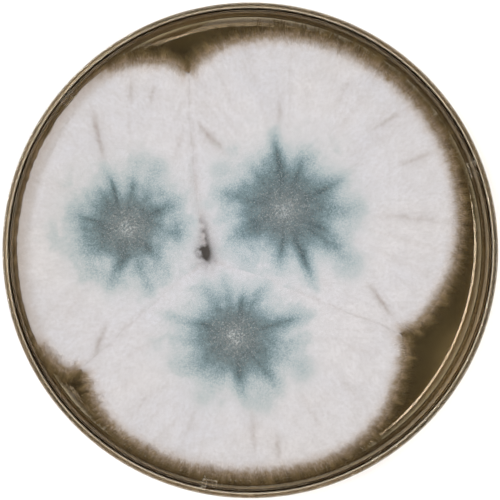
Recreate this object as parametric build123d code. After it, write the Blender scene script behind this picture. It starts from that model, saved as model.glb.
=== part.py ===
from build123d import *
import math
import os

# Petri dish with a grown culture: a clear polystyrene base and lid, a poured
# agar layer that fills the bottom of the base, and three fungal colonies that
# lie on the agar and have met each other along three seams.
#
# Frame: millimetres, +Z up. The origin is the centre of the plane that the
# foot arcs rest on. The lid is closed on the base at rest and lifts along +Z.

# ---------------------------------------------------------------- lid
LID_R = 45.0          # outer radius at the skirt's open edge
LID_WALL = 0.70       # skirt thickness
LID_DRAFT = 0.5       # degrees
LID_Z0 = 8.0          # open edge of the skirt
LID_TOP = 15.2        # top of the raised stacking rim
LEAD_H = 0.80         # steep lead-in round the skirt's lower outer edge
LEAD_W = 0.55
RIM_H = 0.50          # stacking rim above the plate
RIM_INNER_R = 44.20   # a stacked dish's foot ring stands inside this
PLATE_T = 0.80        # lid plate thickness
VENT_GAP = 0.30       # air gap that the three vent nubs keep under the plate
NUB_ANGLES = (20.0, 140.0, 260.0)
NUB_W = 1.6           # along the rim
NUB_R0 = 42.3         # inner end; the outer end merges with the skirt

# ---------------------------------------------------------------- base
RUN_GAP = 0.25        # radial clearance between the skirt and the base's rim
BASE_WALL = 0.70
BASE_DRAFT = 1.0      # degrees, wider towards the rim
FOOT_H = 0.60         # foot ring below the floor plate
FLOOR_T = 0.90
RIM_Z = LID_TOP - RIM_H - PLATE_T - VENT_GAP          # top of the base's rim
BASE_R = LID_R - LID_WALL - RUN_GAP                   # outer radius at the rim
HEEL_R = 1.30         # outside rounding between wall and floor
BOSOM_R = 1.00        # inside rounding between wall and floor
FOOT_R0, FOOT_R1 = 41.60, 42.35
FOOT_ARCS = 5
FOOT_GAP = 14.0       # degrees left open between two foot arcs
FOOT_GAP_AT = 20.0    # middle of the first gap
GATE_R, GATE_H = 1.5, 0.25

# ---------------------------------------------------------------- agar
AGAR_T = 5.0          # depth of the poured layer
MENISCUS_H = 1.1      # climb at the wall
MENISCUS_W = 2.0      # reach from the wall

# ---------------------------------------------------------------- colonies
FELT_T = 1.2          # thickness of the felted mycelium
DOME_R, DOME_H = 14.0, 0.70   # raised middle of each colony
FELT_R = 41.2         # where a colony that reaches the wall stops in this model
SEAM = 0.12           # half of the slit between two neighbours

FLOOR_Z = FOOT_H + FLOOR_T
AGAR_Z = FLOOR_Z + AGAR_T
PLATE_Z0 = LID_TOP - RIM_H - PLATE_T
PLATE_Z1 = LID_TOP - RIM_H

os.makedirs("parts", exist_ok=True)


def section(points, rounds=()):
    """Closed section in the r-z half plane; rounds holds (r, z, radius) corners."""
    face = make_face(Polyline(*points, close=True))
    for r, z, radius in rounds:
        corner = face.vertices().sort_by(lambda v: (v.X - r) ** 2 + (v.Y - z) ** 2)[0]
        face = fillet(corner, radius)
    return Plane.XZ * face


def turned(points, rounds=()):
    """A body of revolution about Z."""
    return revolve(section(points, rounds), Axis.Z, 360)


def base_outer(z):
    return BASE_R - (RIM_Z - z) * math.tan(math.radians(BASE_DRAFT))


def base_inner(z):
    return BASE_R - BASE_WALL - (RIM_Z - z) * math.tan(math.radians(BASE_DRAFT))


def lid_outer(z):
    return LID_R - (z - LID_Z0) * math.tan(math.radians(LID_DRAFT))


def lid_inner(z):
    return LID_R - LID_WALL - (z - LID_Z0) * math.tan(math.radians(LID_DRAFT))


# ---------------------------------------------------------------- base
shell = turned(
    [(0, FOOT_H), (base_outer(FOOT_H), FOOT_H), (base_outer(RIM_Z), RIM_Z),
     (base_inner(RIM_Z), RIM_Z), (base_inner(FLOOR_Z), FLOOR_Z), (0, FLOOR_Z)],
    [(base_outer(FOOT_H), FOOT_H, HEEL_R), (base_inner(FLOOR_Z), FLOOR_Z, BOSOM_R),
     (base_outer(RIM_Z), RIM_Z, 0.2), (base_inner(RIM_Z), RIM_Z, 0.2)])

# each foot arc is its own short turn of the same section
arc_span = 360.0 / FOOT_ARCS - FOOT_GAP
arc = revolve(section(
    [(FOOT_R0, 0), (FOOT_R1, 0), (FOOT_R1, FOOT_H + 0.2), (FOOT_R0, FOOT_H + 0.2)],
    [(FOOT_R0, 0, 0.15), (FOOT_R1, 0, 0.15)]), Axis.Z, arc_span)
foot = [Rot(0, 0, FOOT_GAP_AT + FOOT_GAP / 2 + 360.0 / FOOT_ARCS * i) * arc
        for i in range(FOOT_ARCS)]

# moulding gate mark under the middle of the floor, inside the foot's height
gate = Pos(0, 0, FOOT_H - GATE_H) * extrude(Circle(GATE_R), GATE_H + 0.1)
gate = chamfer(gate.edges().group_by(Axis.Z)[0], 0.1)

dish_base = shell + foot + [gate]

# ---------------------------------------------------------------- lid
cover = turned(
    [(lid_inner(LID_Z0), LID_Z0), (lid_outer(LID_Z0) - LEAD_W, LID_Z0),
     (lid_outer(LID_Z0 + LEAD_H), LID_Z0 + LEAD_H), (lid_outer(LID_TOP), LID_TOP),
     (RIM_INNER_R, LID_TOP), (RIM_INNER_R - 0.1, PLATE_Z1), (0, PLATE_Z1), (0, PLATE_Z0),
     (lid_inner(PLATE_Z0), PLATE_Z0)],
    [(lid_outer(LID_TOP), LID_TOP, 0.25), (RIM_INNER_R, LID_TOP, 0.15),
     (RIM_INNER_R - 0.1, PLATE_Z1, 0.2), (lid_inner(PLATE_Z0), PLATE_Z0, 0.2)])
nub = Pos((NUB_R0 + lid_inner(PLATE_Z0) + 0.2) / 2, 0, PLATE_Z0 - VENT_GAP / 2 + 0.1) * Box(
    lid_inner(PLATE_Z0) + 0.2 - NUB_R0, NUB_W, VENT_GAP + 0.2)
nub = fillet(nub.edges().filter_by(Axis.Z).group_by(Axis.X)[0], 0.5)
lid = cover
for a in NUB_ANGLES:
    lid = lid + Rot(0, 0, a) * nub

# ---------------------------------------------------------------- agar
# the poured layer takes the shape of the base's inside; its surface curves up
# where it wets the wall
wet_z = AGAR_Z + MENISCUS_H
filled = turned(
    [(0, FLOOR_Z), (base_inner(FLOOR_Z), FLOOR_Z), (base_inner(wet_z), wet_z), (0, wet_z)],
    [(base_inner(FLOOR_Z), FLOOR_Z, BOSOM_R)])
m0 = base_inner(AGAR_Z) - MENISCUS_W
surface = Plane.XZ * make_face(
    Line((0, AGAR_Z), (m0, AGAR_Z))
    + TangentArc((m0, AGAR_Z), (base_inner(wet_z) + 0.02, wet_z + 0.02), tangent=(1, 0))
    + Polyline((base_inner(wet_z) + 0.02, wet_z + 0.02), (base_inner(wet_z) + 0.02, wet_z + 2),
               (0, wet_z + 2), (0, AGAR_Z)))
agar = filled - revolve(surface, Axis.Z, 360)

# ---------------------------------------------------------------- colonies
# growth centres and outlines; the colonies meet along three seams that run
# out of one pit near the middle of the plate
CENTRES = {"left": (-22.3, 4.1), "right": (6.4, 7.3), "lower": (-2.7, -15.9)}
SEAM_TOP = [(-11.2, 32.3), (-11.0, 25.5), (-9.9, 10.8), (-8.3, 0.4)]
SEAM_LEFT = [(-8.7, -2.1), (-18.1, -10.2), (-30.8, -21.8)]
SEAM_RIGHT = [(-6.7, -1.9), (3.8, -5.7), (27.8, -15.4)]
FRONT_LEFT = [(-30.8, -21.8), (-33.5, -22.3), (-36.4, -20.3), (-39.4, -16.3), (-43.0, -12.0),
              (-46.0, -3.0), (-46.0, 8.0), (-41.5, 18.0), (-34.6, 25.5), (-31.5, 29.0),
              (-27.3, 32.4), (-22.3, 34.6), (-16.8, 34.8), (-13.3, 34.1), (-11.2, 32.3)]
FRONT_RIGHT = [(-11.2, 32.3), (-9.5, 35.0), (-4.8, 37.9), (0.7, 39.2), (6.4, 39.6),
               (11.9, 38.9), (17.2, 37.2), (22.2, 34.5), (26.6, 31.3), (30.4, 27.5),
               (33.9, 23.1), (36.5, 18.3), (38.1, 13.0), (39.0, 7.3), (38.8, 1.7),
               (37.4, -4.0), (34.8, -9.1), (31.3, -13.5), (27.8, -15.4)]
FRONT_LOWER = [(27.8, -15.4), (28.7, -17.8), (28.2, -21.4), (26.7, -26.5), (24.2, -31.5),
               (20.5, -35.5), (16.1, -38.3), (11.4, -40.0), (6.6, -41.0), (1.8, -41.5),
               (-2.7, -41.5), (-7.1, -41.0), (-11.7, -40.0), (-15.9, -38.5), (-20.1, -36.4),
               (-24.0, -33.9), (-27.3, -30.2), (-29.5, -25.6), (-30.8, -21.8)]


def colony(name, front, seams):
    """One felt: smooth free front, straight seams, raised middle."""
    outline = make_face(Spline(*front) + Polyline(*seams))
    if max(math.hypot(x, y) for x, y in front) > FELT_R:
        outline = outline & Circle(FELT_R)
    outline = outline - trace(Polyline(*seams), line_width=2 * SEAM)
    outline = outline.faces().sort_by(SortBy.AREA)[-1]
    felt = extrude(outline, FELT_T)
    cx, cy = CENTRES[name]
    cap_r = (DOME_R ** 2 + DOME_H ** 2) / (2 * DOME_H)
    dome = Pos(cx, cy, FELT_T + DOME_H - cap_r) * Sphere(cap_r)
    lens = dome & (Pos(cx, cy, FELT_T - 0.3) * Cylinder(
        DOME_R + 2, DOME_H + 0.6, align=(Align.CENTER, Align.CENTER, Align.MIN)))
    # the raised middle stays inside the colony's own outline
    lens = lens & extrude(outline, FELT_T + 4)
    return Pos(0, 0, AGAR_Z) * (felt + lens)


colony_left = colony("left", FRONT_LEFT, SEAM_TOP + SEAM_LEFT)
colony_right = colony("right", FRONT_RIGHT, SEAM_RIGHT[::-1] + SEAM_TOP[::-1])
colony_lower = colony("lower", FRONT_LOWER, SEAM_LEFT[::-1] + SEAM_RIGHT)

NODES = {
    "dish_base": dish_base,
    "lid": lid,
    "agar_medium": agar,
    "colony_left": colony_left,
    "colony_right": colony_right,
    "colony_lower": colony_lower,
}
for name, shape in NODES.items():
    solids = shape.solids()
    print(name, "solids", len(solids), "volume", round(sum(s.volume for s in solids), 2), "mm3")
    export_step(shape if len(solids) > 1 else solids[0], "parts/%s.step" % name)
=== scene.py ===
import math

import bmesh
import bpy
import numpy as np
from mathutils import Matrix, Vector, noise


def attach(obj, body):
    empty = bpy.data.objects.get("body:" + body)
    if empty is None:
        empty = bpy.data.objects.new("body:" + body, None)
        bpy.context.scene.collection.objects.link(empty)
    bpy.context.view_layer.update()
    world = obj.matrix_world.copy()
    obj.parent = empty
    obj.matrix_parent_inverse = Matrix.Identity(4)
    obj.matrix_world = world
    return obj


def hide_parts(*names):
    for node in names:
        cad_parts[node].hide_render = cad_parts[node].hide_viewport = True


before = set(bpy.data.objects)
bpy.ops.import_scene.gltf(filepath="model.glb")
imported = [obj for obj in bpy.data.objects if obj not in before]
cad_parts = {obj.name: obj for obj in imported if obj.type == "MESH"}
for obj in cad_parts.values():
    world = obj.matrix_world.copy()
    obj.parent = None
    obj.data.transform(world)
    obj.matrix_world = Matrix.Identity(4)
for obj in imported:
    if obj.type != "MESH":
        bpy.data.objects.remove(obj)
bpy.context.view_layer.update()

MM = 0.001

# ---------------------------------------------------------------------------
# sizes of the plastic and the agar, in mm, as the CAD has them, but for the base's wall:
# it is drawn 0.17 mm thicker on its outside, which narrows the air gap under the lid
# ---------------------------------------------------------------------------
LID_R, LID_WALL, LID_Z0, LID_TOP = 45.0, 0.70, 8.0, 15.2
RIM_H, RIM_INNER_R, PLATE_T, VENT_GAP = 0.50, 44.20, 0.80, 0.30
RUN_GAP, BASE_WALL, FOOT_H, FLOOR_T = 0.08, 0.87, 0.60, 0.90
FOOT_R0, FOOT_R1 = 41.60, 42.35
AGAR_T, MENISCUS_H, MENISCUS_W = 5.0, 1.1, 2.0
PLATE_Z1 = LID_TOP - RIM_H
PLATE_Z0 = PLATE_Z1 - PLATE_T
RIM_Z = PLATE_Z0 - VENT_GAP
BASE_R = LID_R - LID_WALL - RUN_GAP
FLOOR_Z = FOOT_H + FLOOR_T
AGAR_Z = FLOOR_Z + AGAR_T


def base_outer(z):
    return BASE_R - (RIM_Z - z) * math.tan(math.radians(1.0))


def base_inner(z):
    return base_outer(z) - BASE_WALL


def lid_outer(z):
    return LID_R - (z - LID_Z0) * math.tan(math.radians(0.5))


def lid_inner(z):
    return lid_outer(z) - LID_WALL


# ---------------------------------------------------------------------------
# mesh helpers
# ---------------------------------------------------------------------------
def smoothstep(x):
    x = np.clip(x, 0.0, 1.0)
    return x * x * (3 - 2 * x)


def new_piece(name, verts, faces, material, body, floats=None):
    """A mesh object from arrays in mm, riding on a body."""
    mesh = bpy.data.meshes.new(name)
    mesh.from_pydata((np.asarray(verts) * MM).tolist(), [], [list(map(int, f)) for f in faces])
    mesh.polygons.foreach_set("use_smooth", np.ones(len(mesh.polygons), bool))
    for key, values in (floats or {}).items():
        layer = mesh.attributes.new(key, "FLOAT", "POINT")
        layer.data.foreach_set("value", np.asarray(values, np.float32))
    mesh.update()
    ob = bpy.data.objects.new(name, mesh)
    bpy.context.scene.collection.objects.link(ob)
    mesh.materials.append(material)
    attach(ob, body)
    return ob


def rounded(corners, steps=5):
    """Profile points (r, z) from corners (r, z, radius): each corner becomes an arc."""
    out = []
    n = len(corners)
    for i, (r, z, radius) in enumerate(corners):
        if radius <= 0 or i in (0, n - 1):
            out.append((r, z))
            continue
        p = np.array((r, z))
        a = np.array(corners[i - 1][:2]) - p
        b = np.array(corners[(i + 1) % n][:2]) - p
        a, b = a / np.linalg.norm(a), b / np.linalg.norm(b)
        half = math.acos(np.clip(a @ b, -1, 1)) / 2
        cut = radius / math.tan(half)
        centre = p + (a + b) / np.linalg.norm(a + b) * radius / math.sin(half)
        v0, v1 = p + a * cut - centre, p + b * cut - centre
        turn = math.atan2(v0[0] * v1[1] - v0[1] * v1[0], v0 @ v1)
        for k in range(steps + 1):
            t = turn * k / steps
            c, s = math.cos(t), math.sin(t)
            out.append(tuple(centre + (v0[0] * c - v0[1] * s, v0[0] * s + v0[1] * c)))
    return out


def supported(points, gap=0.05):
    """Adds a point close to both ends of each long run, so that smooth shading stays flat on it."""
    out = []
    for a, b in zip(points[:-1], points[1:]):
        a, b = np.array(a), np.array(b)
        d = np.linalg.norm(b - a)
        out.append(tuple(a))
        if d > 5 * gap:
            out.append(tuple(a + (b - a) * gap / d))
            out.append(tuple(b - (b - a) * gap / d))
    out.append(tuple(points[-1]))
    return out


def lathe(points, turns, change=None):
    """Vertices and faces of a closed turned body. points run from the axis to the axis, or round a closed section. change(array, angles) may vary the section with the angle."""
    pts = np.array(points, float)
    solid = pts[0, 0] < 1e-6 and pts[-1, 0] < 1e-6
    poles = [pts[0], pts[-1]] if solid else []
    ring = pts[1:-1] if solid else pts
    n = len(ring)
    ang = np.arange(turns) * 2 * math.pi / turns
    grid = np.repeat(ring[None], turns, axis=0)
    if change is not None:
        grid = change(grid, ang)
    verts = np.stack([grid[..., 0] * np.cos(ang)[:, None], grid[..., 0] * np.sin(ang)[:, None],
                      grid[..., 1]], axis=-1).reshape(-1, 3)
    j = np.arange(turns)[:, None]
    i = np.arange(n - 1 if solid else n)[None]
    jn, i_next = (j + 1) % turns, (i + 1) % n
    quads = np.stack([j * n + i, jn * n + i, jn * n + i_next, j * n + i_next],
                     axis=-1).reshape(-1, 4)
    faces = quads.tolist()
    if solid:
        base = len(verts)
        verts = np.vstack([verts, [(0, 0, poles[0][1]), (0, 0, poles[1][1])]])
        for a in range(turns):
            b = (a + 1) % turns
            faces.append([base, b * n, a * n])
            faces.append([base + 1, a * n + n - 1, b * n + n - 1])
    return verts, faces


def face_out(ob):
    bm = bmesh.new()
    bm.from_mesh(ob.data)
    bmesh.ops.recalc_face_normals(bm, faces=bm.faces)
    bm.to_mesh(ob.data)
    bm.free()


# ---------------------------------------------------------------------------
# material helpers
# ---------------------------------------------------------------------------
def srgb(h):
    out = []
    for k in (1, 3, 5):
        c = int(h[k:k + 2], 16) / 255
        out.append(c / 12.92 if c <= 0.04045 else ((c + 0.055) / 1.055) ** 2.4)
    return tuple(out) + (1.0,)


def toned(h, tone):
    return tuple(a * b for a, b in zip(srgb(h)[:3], tone)) + (1.0,)


class Nodes:
    """A small helper for writing node trees."""

    def __init__(self, name):
        self.mat = bpy.data.materials.new(name)
        self.mat.use_nodes = True
        self.nt = self.mat.node_tree
        self.nt.nodes.clear()
        self.out = self.add("ShaderNodeOutputMaterial")

    def add(self, kind, **props):
        node = self.nt.nodes.new(kind)
        for k, v in props.items():
            setattr(node, k, v)
        return node

    def link(self, a, b):
        self.nt.links.new(a, b)

    def set(self, socket, value):
        if hasattr(value, "is_output"):
            self.link(value, socket)
        else:
            socket.default_value = value

    def math(self, op, a, b=0.0, c=0.0, clamp=False):
        n = self.add("ShaderNodeMath", operation=op, use_clamp=clamp)
        for s, v in zip(n.inputs, (a, b, c)):
            self.set(s, v)
        return n.outputs[0]

    def mix(self, fac, a, b, kind="MIX"):
        n = self.add("ShaderNodeMix", data_type="RGBA", blend_type=kind)
        self.set(n.inputs[0], fac)
        self.set(n.inputs[6], a)
        self.set(n.inputs[7], b)
        return n.outputs[2]

    def attr(self, name):
        return self.add("ShaderNodeAttribute", attribute_name=name).outputs["Fac"]

    def noise(self, scale, detail=2.0, rough=0.5, vector=None, distortion=0.0):
        n = self.add("ShaderNodeTexNoise")
        n.inputs["Scale"].default_value = scale
        n.inputs["Detail"].default_value = detail
        n.inputs["Roughness"].default_value = rough
        n.inputs["Distortion"].default_value = distortion
        self.link(vector if vector is not None else self.object_coords(), n.inputs["Vector"])
        return n.outputs["Fac"]

    def object_coords(self):
        if not hasattr(self, "_oc"):
            self._oc = self.add("ShaderNodeTexCoord").outputs["Object"]
        return self._oc

    def ramp(self, fac, stops, mode="EASE"):
        n = self.add("ShaderNodeValToRGB")
        n.color_ramp.interpolation = mode
        while len(n.color_ramp.elements) < len(stops):
            n.color_ramp.elements.new(0.5)
        for e, (pos, col) in zip(n.color_ramp.elements, stops):
            e.position = pos
            e.color = col
        self.set(n.inputs[0], fac)
        return n.outputs[0]

    def range(self, value, a, b, c, d, clamp=True):
        n = self.add("ShaderNodeMapRange", clamp=clamp)
        self.set(n.inputs[0], value)
        for s, v in zip(n.inputs[1:5], (a, b, c, d)):
            s.default_value = v
        return n.outputs[0]

    def bump(self, height, strength, distance):
        n = self.add("ShaderNodeBump")
        n.inputs["Strength"].default_value = strength
        n.inputs["Distance"].default_value = distance
        self.link(height, n.inputs["Height"])
        return n.outputs["Normal"]


def lets_lamps_through(m, glass, tint, wall_tint=None):
    """Mixes a Transparent shader in for shadow and diffuse rays, so that lamps reach what is behind."""
    path = m.add("ShaderNodeLightPath")
    fac = m.math("MAXIMUM", path.outputs["Is Shadow Ray"], path.outputs["Is Diffuse Ray"])
    clear = m.add("ShaderNodeBsdfTransparent")
    clear.inputs["Color"].default_value = tint
    if wall_tint:
        m.link(m.mix(m.attr("heel"), m.mix(m.attr("wall"), tint, wall_tint), (0.50, 0.45, 0.38, 1.0)),
               clear.inputs["Color"])
    mix = m.add("ShaderNodeMixShader")
    m.link(fac, mix.inputs[0])
    m.link(glass.outputs[0], mix.inputs[1])
    m.link(clear.outputs[0], mix.inputs[2])
    m.link(mix.outputs[0], m.out.inputs["Surface"])


def clear_plastic(name, tint, amber, shadow, absorbs, density):
    """Polished moulded polystyrene, a little smoky along its length, with hairline scuffs."""
    m = Nodes(name)
    g = m.add("ShaderNodeBsdfGlass")
    m.link(m.mix(m.attr("wall"), tint, amber), g.inputs["Color"])
    m.link(m.range(m.attr("wet"), 0.0, 1.0, 1.59, 1.59 / 1.34), g.inputs["IOR"])
    scuff = m.noise(700.0, 3.0, 0.7, distortion=1.5)
    m.link(m.range(scuff, 0.55, 0.85, 0.0, 0.02), g.inputs["Roughness"])
    lets_lamps_through(m, g, shadow, (0.87, 0.86, 0.845, 1.0))
    v = m.add("ShaderNodeVolumeAbsorption")
    v.inputs["Color"].default_value = absorbs
    v.inputs["Density"].default_value = density
    m.link(v.outputs[0], m.out.inputs["Volume"])
    return m.mat


def agar_gel():
    """Wet amber-brown gel: clear, strongly absorbing, glossy."""
    m = Nodes("agar_gel")
    g = m.add("ShaderNodeBsdfGlass")
    # painted highlight: on the strip marked -1 the glass turns amber and its IOR rises to 1.68, so the key lamp's
    # reflection there reads as a bright golden line; where the gel is held against the plastic (1) the IOR drops
    # to 1
    m.link(m.mix(m.range(m.attr("held_and_glint"), -1.0, 0.0, 1.0, 0.0), (1.0, 1.0, 1.0, 1.0), (1.0, 0.88, 0.68, 1.0)),
           g.inputs["Color"])
    m.link(m.range(m.attr("held_and_glint"), 0.0, 1.0, 1.34, 1.0, clamp=False), g.inputs["IOR"])
    wet = m.noise(260.0, 3.0, 0.55)
    m.link(m.range(wet, 0.3, 0.75, 0.0, 0.03), g.inputs["Roughness"])
    lets_lamps_through(m, g, (1.0, 1.0, 1.0, 1.0))
    v = m.add("ShaderNodeVolumeAbsorption")
    v.inputs["Color"].default_value = AGAR_COLOUR
    v.inputs["Density"].default_value = AGAR_DENSITY
    m.link(v.outputs[0], m.out.inputs["Volume"])
    return m.mat


AGAR_COLOUR = (0.3625, 0.2875, 0.053, 1.0)
AGAR_DENSITY = 229.0


TONE = (0.77, 0.815, 0.86)
EDGE_TONE = (0.95, 0.99, 1.06)
HAIR_TONE = (1.20, 1.27, 1.36)
FELT_TONE = (0.826, 0.870, 0.966)
SPORE_TONE = (0.715, 0.765, 0.825)


def mycelium():
    """Cottony felt: off-white with warm and cool patches, painted shade in its furrows, creases and seams, and
    blue-green spores.
    """
    m = Nodes("mycelium_felt")
    spore, furrow_shade, edge, tuft, shade, core = (
        m.attr(k) for k in ("spore", "furrow_shade", "edge", "tuft", "shade", "core"))
    broad = m.noise(70.0, 3.0, 0.55)
    cloud = m.noise(420.0, 3.0, 0.6)
    fine = m.noise(1700.0, 3.0, 0.65)
    grain = m.noise(4200.0, 2.0, 0.6)
    felt = m.mix(m.range(broad, 0.35, 0.65, 0.0, 1.0), toned("#e5e4e7", FELT_TONE), toned("#ebe7e5", FELT_TONE))
    felt = m.mix(m.range(cloud, 0.36, 0.66, 0.0, 0.50), felt, toned("#d8d4d2", FELT_TONE))
    felt = m.mix(m.range(fine, 0.40, 0.66, 0.0, 0.40), felt, toned("#cbc6c4", FELT_TONE))
    # painted shade: furrows, creases, seams and the pit's surroundings are darkened toward #9b8e86
    felt = m.mix(m.math("MULTIPLY", furrow_shade, m.range(fine, 0.3, 0.7, 0.7, 1.0)), felt, toned("#9b8e86", EDGE_TONE))
    brown = m.mix(m.range(edge, 0.45, 0.95, 0.0, 1.0), toned("#bdb0a8", EDGE_TONE), toned("#8a775a", EDGE_TONE))
    felt = m.mix(m.math("ADD", edge, m.math("MULTIPLY", m.math("SUBTRACT", grain, 0.5), 0.5),
                        clamp=True), felt, brown)
    # spores: the grain breaks the colour up, most where they are dense
    shake = m.math("ADD", m.math("MULTIPLY", m.math("SUBTRACT", grain, 0.5), 1.35),
                   m.math("MULTIPLY", m.math("SUBTRACT", fine, 0.5), 0.45))
    dense = m.math("ADD", spore, m.math("MULTIPLY", shake, m.math("SQRT", spore)), clamp=True)
    conidia = m.ramp(dense, [(pos, toned(h, SPORE_TONE)) for pos, h in (
        (0.00, "#e5e3e3"), (0.20, "#cad2d4"), (0.36, "#b0bec1"), (0.50, "#99acb0"),
        (0.65, "#84989c"), (0.82, "#708488"), (1.00, "#53656a"))], "LINEAR")
    conidia = m.mix(m.math("MULTIPLY", core, m.range(fine, 0.35, 0.65, 0.35, 0.85)), conidia,
                    toned("#8c8f8f", TONE))
    col = m.mix(m.range(spore, 0.0, 0.10, 0.0, 1.0), felt, conidia)
    speck = m.range(grain, 0.53, 0.66, 0.0, 0.75)
    col = m.mix(m.math("MULTIPLY", speck, m.range(spore, 0.55, 0.85, 0.0, 1.0)), col, toned("#b4b9b8", TONE))
    dots = m.range(m.noise(2600.0, 2.0, 0.7), 0.35, 0.48, 0.55, 0.0)
    col = m.mix(m.math("MULTIPLY", dots, m.range(spore, 0.45, 0.80, 0.0, 1.0)), col, toned("#4f5f62", TONE))
    bits = m.range(m.noise(3000.0, 2.0, 0.7), 0.46, 0.60, 0.0, 1.0)
    col = m.mix(m.math("MULTIPLY", tuft, bits), col, toned("#d9dad8", TONE))
    col = m.mix(shade, col, toned("#4a4541", EDGE_TONE))
    p = m.add("ShaderNodeBsdfPrincipled")
    m.link(col, p.inputs["Base Color"])
    p.inputs["Roughness"].default_value = 0.95
    p.inputs["Specular IOR Level"].default_value = 0.15
    p.inputs["Sheen Weight"].default_value = 0.12
    p.inputs["Sheen Roughness"].default_value = 0.6
    height = m.math("ADD", m.math("MULTIPLY", fine, 0.6), m.math("MULTIPLY", grain, 0.4))
    m.link(m.bump(height, 0.45, 0.0003), p.inputs["Normal"])
    m.link(p.outputs[0], m.out.inputs["Surface"])
    return m.mat


def hyphae():
    """Single hyphae: white on the felt, tan over its front, brown where they creep over the gel."""
    m = Nodes("fringe_hyphae")
    out, tone = m.attr("out"), m.attr("tone")
    # "out" runs from 0, 2 mm inside the front, to 1, 4 mm outside it
    col = m.ramp(out, [(pos, toned(h, HAIR_TONE)) for pos, h in (
        (0.00, "#d6d0cd"), (0.14, "#c3b8b0"), (0.25, "#ab9b8c"), (0.35, "#917d64"),
        (0.46, "#7c6949"), (0.60, "#6a593b"), (0.80, "#574932"), (1.00, "#494030"))], "LINEAR")
    col = m.mix(m.math("MULTIPLY", tone, m.range(out, 0.20, 0.45, 0.0, 0.80)), col, toned("#3b301c", HAIR_TONE))
    p = m.add("ShaderNodeBsdfPrincipled")
    m.link(col, p.inputs["Base Color"])
    p.inputs["Roughness"].default_value = 0.8
    p.inputs["Specular IOR Level"].default_value = 0.15
    m.link(p.outputs[0], m.out.inputs["Surface"])
    return m.mat


# ---------------------------------------------------------------------------
# plastic base and lid, agar
# ---------------------------------------------------------------------------
TURNS = 720
mat_base = clear_plastic("clear_polystyrene_base", (0.99, 0.99, 0.985, 1.0), (0.985, 0.950, 0.880, 1.0), (0.93, 0.93, 0.92, 1.0),
                         (0.62, 0.52, 0.36, 1.0), 160.0)
mat_lid = clear_plastic("clear_polystyrene_lid", (0.99, 0.99, 0.99, 1.0), (0.985, 0.970, 0.935, 1.0), (0.93, 0.93, 0.93, 1.0),
                        (0.52, 0.45, 0.33, 1.0), 170.0)
mat_agar = agar_gel()

GATE_R, GATE_H = 1.5, 0.25
WET_Z = AGAR_Z + MENISCUS_H
base_corners = [
    (0, FOOT_H - GATE_H, 0), (GATE_R - 0.1, FOOT_H - GATE_H, 0.05), (GATE_R, FOOT_H, 0.08),
    (FOOT_R0, FOOT_H, 0.05), (FOOT_R0, 0, 0.15), (FOOT_R1, 0, 0.15), (FOOT_R1, FOOT_H, 0.05),
    (base_outer(FOOT_H), FOOT_H, 1.30), (base_outer(6.9), 6.9, 0), (base_outer(7.0), 7.0, 0),
    (base_outer(RIM_Z), RIM_Z, 0.33),
    (base_inner(RIM_Z), RIM_Z, 0.33), (base_inner(WET_Z + 0.03), WET_Z + 0.03, 0),
    (base_inner(WET_Z - 0.03), WET_Z - 0.03, 0), (base_inner(FLOOR_Z), FLOOR_Z, 1.0),
    (0, FLOOR_Z, 0)]
base_points = supported(rounded(base_corners))
ring = np.array(base_points)[1:-1]
foot_cols = np.where((ring[:, 0] > FOOT_R0 - 0.06) & (ring[:, 0] < FOOT_R1 + 0.06)
                     & (ring[:, 1] < FOOT_H + 0.01))[0]


def open_foot(grid, ang):
    """Lifts the foot ring to the floor plate in five gaps of 14 degrees."""
    deg = np.degrees(ang)
    off = np.abs((deg - 20.0 + 36.0) % 72.0 - 36.0)
    up = off < 7.0
    n = len(foot_cols)
    for k, c in enumerate(foot_cols):
        grid[up, c, 0] = FOOT_R0 - 0.05 + (FOOT_R1 - FOOT_R0 + 0.1) * k / (n - 1)
        grid[up, c, 1] = FOOT_H
    return grid


verts, faces = lathe(base_points, TURNS, open_foot)
dish = new_piece("petri_base", verts, faces, mat_base, "dish",
                 {"wall": np.hypot(verts[:, 0], verts[:, 1]) > base_inner(FLOOR_Z) - 1.1,
                  "heel": (np.hypot(verts[:, 0], verts[:, 1]) > 42.6) & (verts[:, 2] < 6.95),
                  "wet": (np.hypot(verts[:, 0], verts[:, 1]) < base_inner(verts[:, 2]) + 0.01)
                  & (verts[:, 2] > FLOOR_Z - 0.01) & (verts[:, 2] < WET_Z)})
face_out(dish)
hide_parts("dish_base")

LEAD_H, LEAD_W = 0.80, 0.55
lid_corners = [
    (0, PLATE_Z1, 0), (RIM_INNER_R - 0.03, PLATE_Z1, 0.06), (RIM_INNER_R, LID_TOP, 0.06),
    (lid_outer(LID_TOP), LID_TOP, 0.25), (lid_outer(LID_Z0 + LEAD_H), LID_Z0 + LEAD_H, 0.05),
    (lid_outer(LID_Z0) - LEAD_W, LID_Z0, 0.03),
    (lid_inner(LID_Z0), LID_Z0, 0.03), (lid_inner(PLATE_Z0), PLATE_Z0, 0.2),
    (43.90, PLATE_Z0, 0), (43.0, PLATE_Z0, 0), (42.40, PLATE_Z0, 0), (42.28, PLATE_Z0, 0),
    (0, PLATE_Z0, 0)]
lid_points = supported(rounded(lid_corners))
ring_lid = np.array(lid_points)[1:-1]
nub_cols = np.where((ring_lid[:, 0] > 42.35) & (ring_lid[:, 0] < 43.95)
                    & (ring_lid[:, 1] > RIM_Z) & (ring_lid[:, 1] < PLATE_Z0 + 0.01))[0]


def vent_nubs(grid, ang):
    """Three low nubs under the plate, which keep the air gap over the base's rim."""
    deg = np.degrees(ang)
    for a in (20.0, 140.0, 260.0):
        off = np.abs((deg - a + 180.0) % 360.0 - 180.0)
        rows = np.where(off < 1.1)[0]
        for r in rows:
            grid[r, nub_cols, 1] = np.minimum(grid[r, nub_cols, 1], RIM_Z + 0.02)
    return grid


verts, faces = lathe(lid_points, TURNS, vent_nubs)
lid = new_piece("petri_lid", verts, faces, mat_lid, "lid",
                {"wall": np.hypot(verts[:, 0], verts[:, 1]) > RIM_INNER_R - 0.4})
face_out(lid)
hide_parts("lid")

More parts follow.
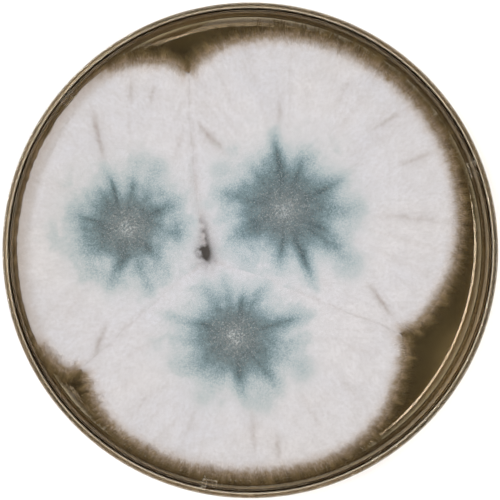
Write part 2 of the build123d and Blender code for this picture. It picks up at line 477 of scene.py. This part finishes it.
# the gel wets the plastic: its skin lies a hair inside the wall and floor
WET = 0.03
wet_z = AGAR_Z + MENISCUS_H
R_WALL = base_inner(wet_z)
MENISCUS_W += 0.35    # the look starts the climb a little further in
M0 = R_WALL - MENISCUS_W


# slope of the gel's skin in degrees, along its climb to the wall
SKIN_X = np.array([0.0, 0.04, 0.64, 0.80, 1.60, 2.35])
SKIN_SLOPE = np.array([0.0, 17.8, 20.8, 22.0, 24.5, 41.5])
_sx = np.linspace(0, MENISCUS_W, 401)
_sz = np.concatenate([[0], np.cumsum(np.tan(np.radians(
    np.interp((_sx[1:] + _sx[:-1]) / 2, SKIN_X, SKIN_SLOPE))) * np.diff(_sx))])
_sz *= MENISCUS_H / _sz[-1]


def meniscus(r):
    """Height of the gel's surface over its flat part, at radius r."""
    return np.interp(np.asarray(r, float) - M0, _sx, _sz)


agar_points = rounded([(0, FLOOR_Z - WET, 0), (base_inner(FLOOR_Z) + WET, FLOOR_Z - WET, 1.0),
                       (R_WALL + WET, wet_z, 0)])
agar_points = supported(agar_points)
steps = np.concatenate([np.linspace(1.0, 0.36, 18), np.linspace(0.34, 0.06, 22),
                        np.linspace(0.05, 0.0, 8)])
curve = [(M0 + MENISCUS_W * t, AGAR_Z + float(meniscus(M0 + MENISCUS_W * t))) for t in steps]
agar_points += curve + [(M0 - 0.05, AGAR_Z), (M0 - 2.0, AGAR_Z), (0, AGAR_Z)]
verts, faces = lathe(agar_points, TURNS)
held_and_glint = ((verts[:, 2] < AGAR_Z - 0.5) | (np.hypot(verts[:, 0], verts[:, 1]) > R_WALL + 0.005)).astype(float)
agar_r = np.hypot(verts[:, 0], verts[:, 1])
# painted highlight: a strip where the skin starts to climb gets a higher IOR and an amber glass colour in
# agar_gel
held_and_glint = held_and_glint - 1.0 * ((agar_r > M0 + 0.02) & (agar_r < M0 + 0.72) & (verts[:, 2] > AGAR_Z + 0.001))
agar = new_piece("agar_gel", verts, faces, mat_agar, "dish", {"held_and_glint": held_and_glint})
face_out(agar)
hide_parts("agar_medium")

# ---------------------------------------------------------------------------
# colonies
# ---------------------------------------------------------------------------
CENTRES = {"left": (-22.3, 4.1), "right": (6.4, 7.3), "lower": (-2.7, -15.9)}
SEAM_TOP = [(-11.2, 32.3), (-11.0, 25.5), (-9.9, 10.8), (-8.3, 0.4)]
SEAM_LEFT = [(-8.7, -2.1), (-18.1, -10.2), (-30.8, -21.8)]
SEAM_RIGHT = [(-6.7, -1.9), (3.8, -5.7), (27.8, -15.4)]
FRONT_LEFT = [(-30.8, -21.8), (-33.5, -22.3), (-36.4, -20.3), (-39.4, -16.3), (-43.0, -12.0),
              (-46.0, -3.0), (-46.0, 8.0), (-41.5, 18.0), (-34.6, 25.5), (-31.5, 29.0),
              (-27.3, 32.4), (-22.3, 34.6), (-16.8, 34.8), (-13.3, 34.1), (-11.2, 32.3)]
FRONT_RIGHT = [(-11.2, 32.3), (-9.5, 35.0), (-4.8, 37.9), (0.7, 39.2), (6.4, 39.6),
               (11.9, 38.9), (17.2, 37.2), (22.2, 34.5), (26.6, 31.3), (30.4, 27.5),
               (33.9, 23.1), (36.5, 18.3), (38.1, 13.0), (39.0, 7.3), (38.8, 1.7),
               (37.4, -4.0), (34.8, -9.1), (31.3, -13.5), (27.8, -15.4)]
FRONT_LOWER = [(27.8, -15.4), (28.7, -17.8), (28.2, -21.4), (26.7, -26.5), (24.2, -31.5),
               (20.5, -35.5), (16.1, -38.3), (11.4, -40.0), (6.6, -41.0), (1.8, -41.5),
               (-2.7, -41.5), (-7.1, -41.0), (-11.7, -40.0), (-15.9, -38.5), (-20.1, -36.4),
               (-24.0, -33.9), (-27.3, -30.2), (-29.5, -25.6), (-30.8, -21.8)]
WALL_STOP = 42.5
FELT_T = 1.15

# spore rays: (angle in degrees, length in mm, half width in mm, strength, dark line 0 to 1)
RAYS = {
    "left": [(111, 11.8, 1.2, 0.50, 0.9), (84, 10.8, 1.0, 0.40, 0.3), (64, 11.6, 1.6, 0.26, 0.0),
             (27, 9.9, 2.0, 0.80, 0.5), (45, 7.0, 1.8, 0.40, 0.0), (-7, 10.6, 1.5, 0.30, 0.0),
             (-45, 8.0, 1.8, 0.78, 0.9), (-70, 13.0, 1.3, 0.30, 0.1), (-99, 9.2, 1.8, 0.82, 0.6),
             (-106, 12.6, 1.3, 0.34, 0.1), (215, 9.2, 2.0, 0.64, 0.1), (199, 9.0, 1.6, 0.5, 0.0),
             (183, 10.6, 1.9, 0.52, 0.2), (167, 10.0, 1.5, 0.56, 0.9), (146, 8.6, 1.6, 0.36, 0.0),
             (127, 9.0, 1.9, 0.64, 0.2)],
    "right": [(98, 14.6, 1.3, 0.84, 1.0), (84, 9.5, 1.6, 0.52, 0.0), (70, 11.6, 1.7, 0.70, 0.5),
              (48, 9.8, 1.9, 0.58, 0.0), (28, 12.9, 2.0, 0.76, 0.4), (10, 10.5, 2.0, 0.46, 0.0),
              (-3, 13.4, 2.3, 0.48, 0.0), (-25, 10.2, 1.8, 0.76, 1.0), (-37, 15.0, 2.0, 0.56, 0.3),
              (-52, 9.5, 1.8, 0.40, 0.0), (-68, 14.8, 1.3, 0.74, 0.9), (-95, 11.0, 1.5, 0.64, 0.4),
              (-118, 7.5, 2.0, 0.36, 0.0), (210, 11.6, 2.4, 0.70, 0.2), (188, 9.6, 2.2, 0.44, 0.0),
              (165, 13.6, 2.0, 0.56, 0.2), (148, 10.2, 1.8, 0.46, 0.0), (128, 10.6, 2.0, 0.66, 0.3),
              (113, 10.6, 1.6, 0.50, 0.0)],
    "lower": [(78, 8.8, 1.4, 0.76, 1.0), (60, 12.2, 1.4, 0.40, 0.1), (17, 14.4, 1.6, 0.60, 0.5),
              (38, 8.0, 1.8, 0.44, 0.0), (-6, 9.4, 1.8, 0.52, 0.0), (-24, 13.6, 1.6, 0.26, 0.0),
              (-34, 9.2, 1.6, 0.46, 0.0), (-49, 12.8, 1.8, 0.66, 0.3), (-84, 9.8, 1.5, 0.78, 1.0),
              (-80, 13.4, 1.2, 0.30, 0.0), (-112, 9.4, 1.8, 0.50, 0.0), (-138, 9.0, 1.8, 0.46, 0.0),
              (210, 9.4, 2.0, 0.54, 0.2), (183, 9.8, 1.9, 0.50, 0.0), (158, 8.8, 1.7, 0.66, 0.7),
              (163, 14.2, 1.2, 0.26, 0.0), (121, 12.0, 1.6, 0.42, 0.1), (101, 11.6, 1.5, 0.36, 0.1),
              (140, 8.5, 1.6, 0.34, 0.0)]}
CORE = {"left": (4.8, 0.95, 0.62), "right": (5.2, 1.0, 0.56), "lower": (5.2, 0.85, 0.66)}
# spore patches off the rays: (x, y, radius, strength)
PATCHES = {"left": [(-13.6, 3.2, 1.7, 0.30), (-16.9, 14.9, 1.8, 0.18), (-18.6, -6.8, 1.3, 0.16)],
           "right": [(-5.6, 14.6, 2.2, 0.10), (18.5, -3.0, 2.6, 0.16), (19.0, 8.0, 2.4, 0.12)],
           "lower": [(10.0, -22.0, 2.2, 0.12), (2.5, -28.0, 2.2, 0.12), (-8.5, -27.0, 2.0, 0.10)]}

# furrows in the felt: (x0, y0, x1, y1, half width, depth, tint); tint is the strength of the painted shade in the
# furrow
FURROWS = {
    "left": [(-29.5, 28.3, -25.6, 11.8, 0.8, 0.22, 0.45), (-21.8, 32.8, -21.8, 25.5, 0.7, 0.15, 0.30),
             (-17.2, 31.0, -18.5, 25.5, 0.7, 0.16, 0.32), (-11.6, 24.5, -14.6, 14.0, 0.7, 0.12, 0.20),
             (-29.2, -21.0, -25.6, -12.0, 0.8, 0.22, 0.42), (-36.5, -17.0, -29.0, -5.0, 0.7, 0.10, 0.12),
             (-40.5, 2.0, -31.5, 4.0, 0.8, 0.10, 0.10), (-38.5, 14.0, -30.0, 8.5, 0.8, 0.10, 0.10),
             (-12.5, 12.0, -17.5, 7.5, 0.7, 0.12, 0.12)],
    "right": [(5.5, 30.0, 5.4, 16.4, 0.8, 0.24, 0.34), (-10.7, 24.5, -3.4, 16.3, 0.9, 0.24, 0.48),
              (21.2, 21.0, 29.5, 26.5, 0.7, 0.18, 0.32), (25.8, 15.0, 35.0, 18.2, 0.7, 0.18, 0.32),
              (21.2, 6.4, 38.5, 5.0, 0.8, 0.20, 0.26), (20.2, -4.6, 28.0, -14.6, 0.7, 0.24, 0.44),
              (15.0, 24.0, 19.0, 33.0, 0.7, 0.12, 0.16), (14.5, 12.5, 22.0, 17.0, 0.8, 0.14, 0.20),
              (-2.5, 24.0, -5.5, 33.0, 0.7, 0.12, 0.14), (12.0, -3.5, 16.5, -9.0, 0.7, 0.14, 0.10),
              (27.0, -2.0, 35.0, -5.5, 0.7, 0.10, 0.12)],
    "lower": [(0.4, -26.0, 1.3, -39.5, 0.8, 0.24, 0.34), (4.8, -32.5, 5.6, -40.0, 0.7, 0.16, 0.34),
              (-2.2, -24.0, -1.5, -34.0, 0.5, -0.10, 0.0), (-16.5, -24.0, -22.5, -31.5, 0.8, 0.12, 0.14),
              (8.5, -25.0, 14.5, -34.5, 0.8, 0.12, 0.16), (13.5, -16.5, 25.5, -19.5, 0.8, 0.12, 0.12),
              (-9.0, -26.5, -12.5, -36.5, 0.7, 0.12, 0.14), (-14.0, -15.0, -25.0, -21.0, 0.8, 0.10, 0.12),
              (14.5, -22.0, 22.5, -29.5, 0.7, 0.12, 0.14)]}


def spline(points, per=14):
    """Points along a smooth curve through the given ones."""
    p = np.array(points, float)
    ext = np.vstack([2 * p[0] - p[1], p, 2 * p[-1] - p[-2]])
    out = []
    for i in range(1, len(ext) - 2):
        p0, p1, p2, p3 = ext[i - 1:i + 3]
        for t in np.linspace(0, 1, per, endpoint=False):
            out.append(0.5 * (2 * p1 + (p2 - p0) * t + (2 * p0 - 5 * p1 + 4 * p2 - p3) * t ** 2
                              + (3 * p1 - p0 - 3 * p2 + p3) * t ** 3))
    out.append(p[-1])
    return np.array(out)


def wavy(points, phase):
    """A seam line with the small wander of two felts that have met; its ends stay put."""
    line = spline(points, 24)
    d = np.gradient(line, axis=0)
    d /= np.linalg.norm(d, axis=1)[:, None]
    s = np.concatenate([[0], np.cumsum(np.linalg.norm(np.diff(line, axis=0), axis=1))])
    w = 0.16 * np.sin(s * 0.55 + phase) + 0.06 * np.sin(s * 1.35 + 2.1 * phase)
    w *= smoothstep(s / 2.5) * smoothstep((s[-1] - s) / 2.5)
    return line + np.stack([-d[:, 1], d[:, 0]], axis=1) * w[:, None]


SEAMS = {"top": wavy(SEAM_TOP, 0.4), "left": wavy(SEAM_LEFT, 1.7), "right": wavy(SEAM_RIGHT, 2.9)}


def outline(name):
    """The closed outline of a colony and the kind of edge at each point: 0 front, 1 seam, 2 pit."""
    if name == "left":
        parts = [(spline(FRONT_LEFT), 0), (SEAMS["top"], 1), (SEAMS["left"], 1)]
    elif name == "right":
        parts = [(spline(FRONT_RIGHT), 0), (SEAMS["right"][::-1], 1), (SEAMS["top"][::-1], 1)]
    else:
        parts = [(spline(FRONT_LOWER), 0), (SEAMS["left"][::-1], 1), (SEAMS["right"], 1)]
    pts = np.vstack([p for p, _ in parts])
    kinds = np.concatenate([np.full(len(p), k) for p, k in parts])
    return pts, kinds


def segment_distance(x, y, x0, y0, x1, y1):
    """Distance to a segment, and how far along it, 0 to 1."""
    dx, dy = x1 - x0, y1 - y0
    t = np.clip(((x - x0) * dx + (y - y0) * dy) / (dx * dx + dy * dy), 0, 1)
    return np.hypot(x - x0 - t * dx, y - y0 - t * dy), t


def noise_at(x, y, scale, octaves=3, seed=0.0):
    """Smooth noise, about -1 to 1, at scale features per mm."""
    out = np.empty(x.size)
    for i, (a, b) in enumerate(zip(x.ravel(), y.ravel())):
        out[i] = noise.fractal(Vector((a * scale + seed, b * scale - seed, seed * 0.37)), 1.0, 2.0, octaves)
    return out.reshape(x.shape)


def spores(name, x, y):
    """Density of spores, 0 to 1: a core, rays that run out of it, and a thin pale halo."""
    cx, cy = CENTRES[name]
    core_r, squash_y, core_s = CORE[name]
    dx, dy = x - cx, y - cy
    rho = np.hypot(dx, dy / squash_y)
    theta = np.arctan2(dy, dx)
    wob = noise_at(x, y, 0.16, 2, 3.0 + cx) * 0.9
    fluff = noise_at(x, y, 0.75, 3, 19.0 + cy)
    # streaks that run outwards like the hyphae do
    streak = noise_at(np.cos(theta) * 26 + rho * 0.10, np.sin(theta) * 26 + rho * 0.10, 0.8, 3, 13.0 + cy)
    rest = 1.0 - core_s * (1 - smoothstep((rho + wob - core_r * 0.30) / (core_r * 1.15)))
    lines = np.zeros_like(rho)
    for a, length, half, strength, dark in RAYS[name]:
        t = math.radians(a)
        along = dx * math.cos(t) + dy * math.sin(t)
        across = -dx * math.sin(t) + dy * math.cos(t) + wob * 0.5
        u = np.clip(along / length, 0, 1.4)
        width = half * (1.10 - 0.60 * np.clip(u, 0, 1)) + 0.30
        reach = u + 0.08 * fluff
        fade = (1 - smoothstep((reach - 0.50) / 0.68)) * smoothstep(along / 3.0)
        rest *= 1 - min(1.15 * strength, 0.92) * 0.88 * fade * np.exp(-(across / width) ** 2)
        thin = np.exp(-(across / 0.34) ** 2) * smoothstep((u - 0.12) / 0.2) * (1 - smoothstep((u - 0.55) / 0.4))
        lines = np.maximum(lines, dark * 0.42 * thin)
    for px, py, pr, ps in PATCHES[name]:
        rest *= 1 - ps * np.exp(-((x - px) ** 2 + (y - py) ** 2) / (pr * pr))
    s = 1 - rest
    ragged = rho * (1 + 0.05 * streak + 0.14 * fluff)
    halo = 0.24 * np.exp(-(ragged / 9.6) ** 2.6) + 0.06 * np.exp(-(ragged / 14.0) ** 4)
    halo *= np.clip(1 + 0.7 * fluff + 0.15 * streak, 0, 2)
    # pale petals between and beyond the rays
    petal = noise_at(x, y, 0.24, 3, 67.0 + cx)
    halo += 0.34 * np.clip(petal + 0.04, 0, 0.6) * np.exp(-(ragged / 13.5) ** 4)
    s = 1 - (1 - s) * (1 - halo)
    s = s * (1 + 0.04 * streak * smoothstep(rho / 4.0) + 0.14 * fluff) + lines
    return np.clip(s, 0, 1)


def colony(name):
    cx, cy = CENTRES[name]
    pts, kinds = outline(name)
    n_ang, n_rad = 720, 82
    phi = np.arctan2(pts[:, 1] - cy, pts[:, 0] - cx)
    reach = np.hypot(pts[:, 0] - cx, pts[:, 1] - cy)
    order = np.argsort(phi)
    ang = -math.pi + (np.arange(n_ang) + 0.5) * 2 * math.pi / n_ang
    far = np.interp(ang, phi[order], reach[order], period=2 * math.pi)
    # kinds blend smoothly round the rim
    seam = np.interp(ang, phi[order], (kinds[order] == 1).astype(float), period=2 * math.pi)
    ux, uy = np.cos(ang), np.sin(ang)
    along = cx * ux + cy * uy
    wall = -along + np.sqrt(along ** 2 + WALL_STOP ** 2 - cx * cx - cy * cy)
    wall += noise_at(ang * 20, ang * 0, 0.5, 2, 5.0) * 0.25
    at_wall = smoothstep((far - wall + 0.6) / 1.2)
    far = np.minimum(far, wall)
    px, py = cx + far * ux, cy + far * uy
    to_pit = np.hypot(px + 7.9, py + 1.1)
    pit = 1 - smoothstep((to_pit - 0.8) / 1.2)
    ragged = noise_at(ang * 40 + cx, ang * 0, 0.6, 3, 7.7)
    far = far + (1 - seam) * (1 - at_wall) * ragged * 0.25
    far = far + seam * 0.05 + pit * 0.9
    kernel = np.exp(-np.linspace(-2, 2, 13) ** 2)
    kernel /= kernel.sum()

    def soft(v):
        return np.convolve(np.concatenate([v[-6:], v, v[:6]]), kernel, "valid")

    seam, at_wall, pit = soft(seam), soft(at_wall), soft(pit)
    floor = (1 - seam) * (0.03 + 0.25 * at_wall) + seam * 0.95
    floor = floor * (1 - pit) + 0.10 * pit
    band = (1 - seam) * (2.8 - 1.0 * at_wall) + seam * 1.3
    band = band * (1 - pit) + 1.3 * pit

    t = np.linspace(0, 1, n_rad + 1)[1:]
    t = t ** 0.85
    rad = far[:, None] * t[None]
    x, y = cx + rad * ux[:, None], cy + rad * uy[:, None]
    d = far[:, None] - rad
    big_r = np.hypot(x, y)
    under = AGAR_Z + meniscus(big_r)
    rise = 1 - np.exp(-1.9 * (d / band[:, None]) ** 1.15)
    rise /= 1 - math.exp(-1.9 * 3.0)
    thick = FELT_T * (floor[:, None] + (1 - floor[:, None]) * np.clip(rise, 0, 1))
    mound = 0.32 * np.exp(-(rad / 11.0) ** 2) + 0.12 * np.exp(-(rad / 3.5) ** 2)
    swell = noise_at(x, y, 0.12, 3, 11.0 + cx) * 0.10
    wool = noise_at(x, y, 0.9, 3, 23.0 + cy) * 0.050
    full = smoothstep(d / 1.5)
    # painted shade: this mask darkens the felt in the furrows, the creases, along the seams and round the pit
    furrow_shade = np.zeros_like(x)
    cut = np.zeros_like(x)
    bend = noise_at(x, y, 0.22, 2, 31.0) * 0.9
    broken = 0.55 + 0.9 * noise_at(x, y, 0.55, 2, 37.0)
    for x0, y0, x1, y1, half, depth, tint in FURROWS[name]:
        dist, u = segment_distance(x + bend * 0.3, y + bend * 0.3, x0, y0, x1, y1)
        fade = smoothstep(u / 0.45) * smoothstep((1 - u) / 0.45)
        cut += depth * np.exp(-(dist / half) ** 2) * fade
        g = np.exp(-(dist / (half * 0.60)) ** 2) + 0.40 * np.exp(-(dist / (half * 1.9)) ** 2)
        furrow_shade = np.maximum(furrow_shade, tint * 1.35 * g * fade * np.clip(0.75 + 0.35 * (broken - 0.55), 0.5, 1.1))
    # fine radial creases all over the felt, strongest half way out, with painted shade in them
    theta = np.arctan2(y - cy, x - cx)
    crease = noise_at(np.cos(theta) * 17 + rad * 0.03, np.sin(theta) * 17 + rad * 0.03, 1.0, 2, 43.0 + cy)
    furrow_shade = np.maximum(furrow_shade, 0.09 * smoothstep((crease - 0.25) / 0.3) * smoothstep((rad - 9) / 8))
    cut += 0.02 * smoothstep((crease - 0.1) / 0.4) * smoothstep((rad - 9) / 8)
    # the rays are shallow furrows too
    star = spores(name, x, y)
    for a, length, half, strength, dark in RAYS[name]:
        th = math.radians(a)
        al = (x - cx) * math.cos(th) + (y - cy) * math.sin(th)
        ac = -(x - cx) * math.sin(th) + (y - cy) * math.cos(th) + bend * 0.5
        g = np.exp(-(ac / 0.7) ** 2) * smoothstep(al / 3.0) * (1 - smoothstep((al / length - 0.7) / 0.5))
        cut += (0.05 + 0.12 * dark) * strength * g
    grains = noise_at(x, y, 2.2, 3, 41.0) * 0.07 * smoothstep((star - 0.5) / 0.4)
    # a low heap of white granules in the middle
    clump = noise_at(x, y, 0.8, 3, 57.0 + cx)
    tuft = np.exp(-(rad / 1.5) ** 2) * (0.75 + 0.9 * clump)
    spots = smoothstep((noise_at(x, y, 1.6, 2, 71.0 + cx) - 0.30) / 0.2) * np.exp(-(rad / 4.6) ** 4)
    tuft = np.clip(tuft + 0.40 * spots, 0, 1)
    # where the three felts meet they leave a small dark hole, drawn out upwards
    rough = noise_at(x, y, 0.9, 3, 61.0)
    hole = np.exp(-(((x + 7.9 + 0.6 * rough) / 1.55) ** 2 + ((y + 0.8) / 2.0) ** 2) ** (0.75 + 0.2 * rough))
    smear = 0.62 * np.exp(-((x + 8.05 + 0.10 * (y - 2) + 0.7 * rough) / 0.62) ** 2) \
        * smoothstep((y + 1.5) / 1.5) * (1 - smoothstep((y - 1.5) / 6.5))
    shade = np.clip((hole * 0.90 + smear) * (1 + 0.8 * rough), 0, 1)
    # painted shade round the pit and along the seams where two felts meet
    pit_near = np.exp(-(((x + 8.0) / 2.2) ** 2 + ((y - 1.0) / 4.8) ** 2))
    seam_shade = seam[:, None] * 0.27 * np.exp(-(d / 0.8) ** 2) * np.clip(broken, 0.35, 1.2)
    seam_grey_shade = 0.22 * seam[:, None] * np.exp(-(d / 1.5) ** 2) * smoothstep((y - 1.0) / 3.0) \
        * (1 - smoothstep((y - 12.0) / 12.0))
    furrow_shade = np.clip(furrow_shade + seam_shade + seam_grey_shade + 0.45 * pit_near, 0, 1)
    edge = 1 - smoothstep((d + 0.55 * noise_at(x, y, 1.2, 3, 83.0)) / 3.3)
    edge = np.clip(edge * (1 - seam[:, None]) * (1 - 0.6 * at_wall[:, None]), 0, 1)
    z = under + np.clip(thick + (mound + swell + wool) * full - cut * full + grains
                        + 0.14 * tuft - 0.9 * hole * (1 - pit[:, None]) * 0.6, 0.03, None)
    z = np.minimum(z, PLATE_Z0 - 1.0)

    # one centre point, the grid, and a sunken underside
    top0 = float(z[:, 0].mean())
    verts = [np.array([[cx, cy, top0]]), np.stack([x, y, z], -1).reshape(-1, 3)]
    low = np.stack([x[:, -1], y[:, -1], under[:, -1] - 0.12], -1)
    verts += [low, np.array([[cx, cy, AGAR_Z - 0.12]])]
    verts = np.vstack(verts)
    faces = []
    a = np.arange(n_ang)
    b = (a + 1) % n_ang
    faces += np.stack([np.zeros(n_ang, int), 1 + a * n_rad, 1 + b * n_rad], -1).tolist()
    aa, kk = np.meshgrid(a, np.arange(n_rad - 1), indexing="ij")
    bb = (aa + 1) % n_ang
    faces += np.stack([1 + aa * n_rad + kk, 1 + aa * n_rad + kk + 1, 1 + bb * n_rad + kk + 1,
                       1 + bb * n_rad + kk], -1).reshape(-1, 4).tolist()
    first_low = 1 + n_ang * n_rad
    rim = 1 + a * n_rad + n_rad - 1
    faces += np.stack([rim, first_low + a, first_low + b, 1 + b * n_rad + n_rad - 1], -1).tolist()
    last = len(verts) - 1
    faces += np.stack([np.full(n_ang, last), first_low + b, first_low + a], -1).tolist()

    def spread(v, centre):
        return np.concatenate([[centre], v.ravel(), v[:, -1], [0.0]])

    floats = {"spore": spread(star, float(star[:, 0].mean())), "furrow_shade": spread(furrow_shade, 0.0),
              "edge": spread(edge, 0.0), "tuft": spread(tuft, float(tuft[:, 0].mean())),
              "shade": spread(shade, 0.0),
              "core": spread(np.exp(-(rad / 4.6) ** 2.5), 1.0)}
    ob = new_piece("colony_%s_felt" % name, verts, faces, mat_felt, "dish", floats)
    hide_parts("colony_%s" % name)
    return ob, dict(ang=ang, far=far, seam=seam, wall=at_wall, pit=pit, centre=(cx, cy))


mat_felt = mycelium()
mat_hair = hyphae()


def strands(name, seed, rim, count, reach, back, width, lift, spread_deg, pit_weight=0.0):
    """Tapered hyphae that start in the felt's front and run outwards over the gel."""
    rng = np.random.default_rng(seed)
    cx, cy = rim["centre"]
    free = np.clip((1 - rim["seam"]) * (1 - 0.55 * rim["wall"]) + pit_weight * rim["pit"], 0.0, 1.0)
    tufts = noise_at(rim["ang"] * rim["far"] * 0.9, rim["ang"] * 0, 1.0, 2, 9.1 + seed)
    weight = free * rim["far"] * np.clip(1 + 1.3 * tufts, 0.15, 2.5)
    pick = rng.choice(len(weight), count, p=weight / weight.sum())
    ang = rim["ang"][pick] + rng.uniform(-0.5, 0.5, count) * 2 * math.pi / len(rim["ang"])
    far = rim["far"][pick]
    start = far - back * rng.uniform(0.0, 1.0, count) ** 1.7
    length = reach * rng.uniform(0.35, 1.0, count) ** 1.3 * (1 + 0.6 * tufts[pick])
    length = np.maximum(length * (1 - 0.35 * rim["wall"][pick]), 0.25)
    lean = noise_at(rim["ang"] * rim["far"] * 0.35, rim["ang"] * 0, 1.0, 2, 3.3 + seed)
    heading = ang + np.radians(rng.normal(0, spread_deg, count) + 26 * lean[pick])
    curl = np.radians(rng.normal(0, 18, count))
    w = width * rng.uniform(0.6, 1.35, count)
    sides, rings = 3, 4
    s = np.array([0.0, 0.35, 0.7, 1.0])
    x = np.empty((count, rings))
    y = np.empty((count, rings))
    x[:, 0] = cx + start * np.cos(ang)
    y[:, 0] = cy + start * np.sin(ang)
    for k in range(1, rings):
        h = heading + curl * s[k]
        step = length * (s[k] - s[k - 1])
        x[:, k] = x[:, k - 1] + step * np.cos(h)
        y[:, k] = y[:, k - 1] + step * np.sin(h)
    big = np.hypot(x, y)
    lim = R_WALL - 0.12
    scale = np.where(big > lim, lim / big, 1.0)
    x, y = x * scale, y * scale
    front = np.interp(np.arctan2(y - cy, x - cx), rim["ang"], rim["far"], period=2 * math.pi)
    beyond = np.hypot(x - cx, y - cy) - front
    inside = np.clip(-beyond / 2.6, 0, 1)
    felt_z = FELT_T * (1 - np.exp(-1.9 * inside ** 1.15))
    over = lift * rng.uniform(0.1, 1.0, count) * np.clip(1.2 + beyond[:, 0] / 3.0, 0.15, 1.0)
    z = AGAR_Z + meniscus(np.hypot(x, y)) + 0.03 + felt_z - 0.30 * (1 - s[None]) ** 2 * (felt_z > 0.1) \
        + over[:, None] * np.sin(np.pi * np.clip(s[None], 0, 1))
    taper = np.array([1.0, 0.85, 0.55, 0.12])
    verts = np.empty((count, rings, sides, 3))
    dirx, diry = np.cos(heading), np.sin(heading)
    for k in range(rings):
        for q in range(sides):
            t = 2 * math.pi * q / sides + math.pi / 2
            off = w * taper[k] * 0.5
            verts[:, k, q, 0] = x[:, k] - diry * math.cos(t) * off
            verts[:, k, q, 1] = y[:, k] + dirx * math.cos(t) * off
            verts[:, k, q, 2] = z[:, k] + math.sin(t) * off
    base = (np.arange(count) * rings * sides)[:, None]
    quads = []
    for k in range(rings - 1):
        for q in range(sides):
            r = (q + 1) % sides
            quads.append([k * sides + q, k * sides + r, (k + 1) * sides + r, (k + 1) * sides + q])
    quads = (base[:, None, :] + np.array(quads)[None]).reshape(-1, 4)
    caps = (base[:, None, :] + np.array([[2, 1, 0], [9, 10, 11]])[None]).reshape(-1, 3)
    shift = rng.normal(0, 0.35, count)[:, None]
    out = np.clip((beyond + shift + 2.0) / 6.0, 0, 1)
    out = np.repeat(out[:, :, None], sides, 2).ravel()
    # neighbours run together in strands of one tone
    strand = noise_at(rim["ang"] * rim["far"] * 1.5, rim["ang"] * 0, 1.0, 2, 17.0 + seed)[pick]
    tone = np.clip(0.42 + 1.5 * strand + rng.normal(0, 0.16, count), 0, 1)
    tone = np.repeat(tone, rings * sides)
    return new_piece(name, verts.reshape(-1, 3), quads.tolist() + caps.tolist(), mat_hair, "dish",
                     {"out": out, "tone": tone})


for i, name in enumerate(("left", "right", "lower")):
    felt, rim = colony(name)
    strands("colony_%s_fringe" % name, 100 + i, rim, 7200, 2.3, 2.8, 0.070, 0.16, 13, 0.5)
    strands("colony_%s_creepers" % name, 200 + i, rim, 4200, 3.2, 0.9, 0.080, 0.05, 9)

# ---------------------------------------------------------------------------
# stage, light, camera
# ---------------------------------------------------------------------------
stage_mat = Nodes("pale_floor")
sp = stage_mat.add("ShaderNodeBsdfPrincipled")
sp.inputs["Base Color"].default_value = (0.96, 0.96, 0.96, 1.0)
sp.inputs["Roughness"].default_value = 0.9
sp.inputs["Specular IOR Level"].default_value = 0.1
stage_mat.link(sp.outputs[0], stage_mat.out.inputs["Surface"])
bm = bmesh.new()
bmesh.ops.create_circle(bm, cap_ends=True, segments=96, radius=2.5)
floor_mesh = bpy.data.meshes.new("pale_floor")
bm.to_mesh(floor_mesh)
bm.free()
floor = bpy.data.objects.new("pale_floor", floor_mesh)
floor.location.z = -0.00002
floor_mesh.materials.append(stage_mat.mat)
bpy.context.scene.collection.objects.link(floor)


def softbox(name, azimuth, elevation, distance, size, power, colour):
    light = bpy.data.lights.new(name, "AREA")
    light.shape = "RECTANGLE"
    light.size, light.size_y = size
    light.energy = power
    light.color = colour
    ob = bpy.data.objects.new(name, light)
    a, e = math.radians(azimuth), math.radians(elevation)
    ob.location = (distance * math.cos(e) * math.cos(a), distance * math.cos(e) * math.sin(a),
                   distance * math.sin(e))
    ob.rotation_euler = (-Vector(ob.location)).to_track_quat("-Z", "Y").to_euler()
    bpy.context.scene.collection.objects.link(ob)
    return ob


softbox("softbox_key", 157, 60, 0.85, (0.70, 0.055), 6.2, (0.985, 0.965, 0.955))
softbox("softbox_fill_right", 335, 57, 0.90, (0.80, 0.45), 5.6, (0.985, 0.965, 0.94))
softbox("softbox_fill_low", 250, 57, 0.90, (0.70, 0.40), 3.1, (0.985, 0.965, 0.955))
softbox("softbox_fill_high", 65, 57, 0.90, (0.70, 0.40), 3.1, (0.985, 0.965, 0.945))

world = bpy.data.worlds.new("studio")
bpy.context.scene.world = world
world.use_nodes = True
wt = world.node_tree
bg = wt.nodes["Background"]
coords = wt.nodes.new("ShaderNodeTexCoord")
split = wt.nodes.new("ShaderNodeSeparateXYZ")
wt.links.new(coords.outputs["Generated"], split.inputs[0])
sky = wt.nodes.new("ShaderNodeValToRGB")
sky.color_ramp.elements[0].position = 0.0
sky.color_ramp.elements[0].color = (0.22, 0.22, 0.22, 1)
sky.color_ramp.elements[1].position = 0.40
sky.color_ramp.elements[1].color = (0.03, 0.03, 0.03, 1)
wt.links.new(split.outputs["Z"], sky.inputs[0])
wt.links.new(sky.outputs[0], bg.inputs["Color"])
bg.inputs["Strength"].default_value = 0.6

cam_data = bpy.data.cameras.new("camera")
cam = bpy.data.objects.new("camera", cam_data)
bpy.context.scene.collection.objects.link(cam)
DIST = 0.840
TOP = LID_TOP * MM
target = Vector((-0.00011, 0.000115, TOP))
cam.location = (-0.0186, 0.0158, TOP + DIST)
back = (cam.location - target).normalized()
right = Vector((0.0, 1.0, 0.0)).cross(back).normalized()
up = back.cross(right)
cam.rotation_euler = Matrix((right, up, back)).transposed().to_euler()
cam_data.sensor_width = 36.0
cam_data.lens = 36.0 * DIST / (500 / 248.10 * 0.04494)
cam_data.clip_start, cam_data.clip_end = 0.01, 20
bpy.context.scene.camera = cam

scene = bpy.context.scene
scene.view_settings.view_transform = "Standard"
scene.view_settings.look = "None"
scene.cycles.caustics_reflective = False
scene.cycles.caustics_refractive = False
scene.cycles.max_bounces = 32
scene.cycles.diffuse_bounces = 4
scene.cycles.glossy_bounces = 16
scene.cycles.transmission_bounces = 24
scene.cycles.transparent_max_bounces = 48
